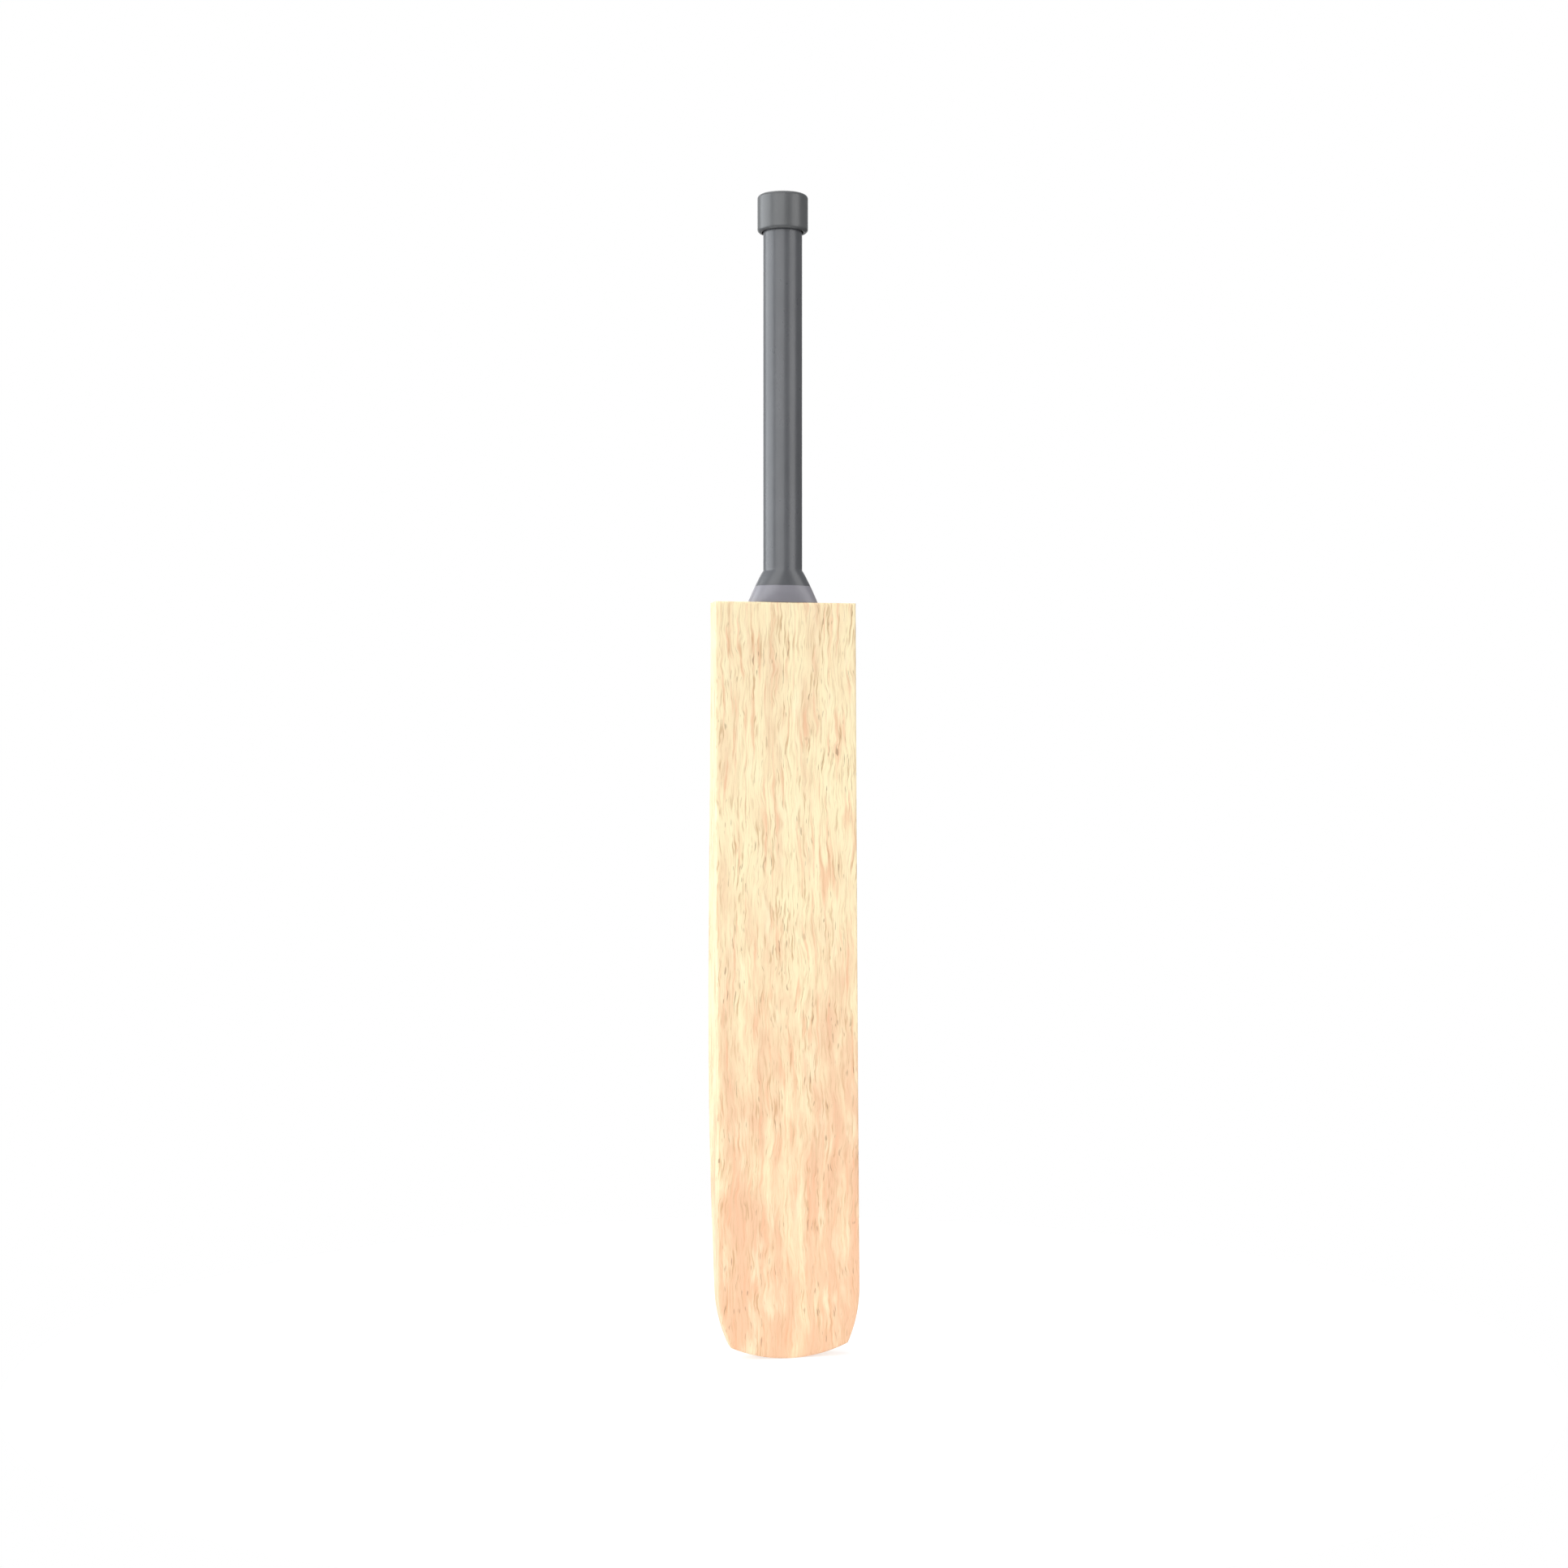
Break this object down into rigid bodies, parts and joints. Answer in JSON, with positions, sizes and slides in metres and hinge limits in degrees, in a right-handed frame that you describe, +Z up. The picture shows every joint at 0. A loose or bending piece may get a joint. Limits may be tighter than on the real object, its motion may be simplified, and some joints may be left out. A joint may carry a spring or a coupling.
{
  "type": "cricket bat",
  "caption": "Short-handled cricket bat: spliced willow blade with a rounded toe, rubber-covered laminated cane handle, flared shoulder collar and a round end cap.",
  "frame": {"origin": "on the handle's axis in the middle of the grip, where the hands hold the bat, 700 mm above the lowest point of the toe", "axes": "+Z up the handle to the end cap, along its axis; the hitting face looks along -Y and the spine along +Y; +X is to the right seen from in front"},
  "size_m": [0.105, 0.0678, 0.85],
  "materials": {
    "willow": "satin",
    "facing": "satin",
    "cane": "satin",
    "strip_rubber": "matte",
    "twine": "matte",
    "grip_rubber": "satin",
    "collar_rubber": "satin",
    "cap_rubber": "satin"
  },
  "bodies": {
    "root": {"blade": "willow", "face_facing": "facing", "cane_1_1": "cane", "cane_1_2": "cane", "cane_1_3": "cane", "cane_2_1": "cane", "cane_2_2": "cane", "cane_2_3": "cane", "cane_3_1": "cane", "cane_3_2": "cane", "cane_3_3": "cane", "cane_4_1": "cane", "cane_4_2": "cane", "cane_4_3": "cane", "rubber_strip_1": "strip_rubber", "rubber_strip_2": "strip_rubber", "rubber_strip_3": "strip_rubber", "twine_binding": "twine", "grip": "grip_rubber", "shoulder_collar": "collar_rubber", "end_cap": "cap_rubber"}
  },
  "joints": []
}
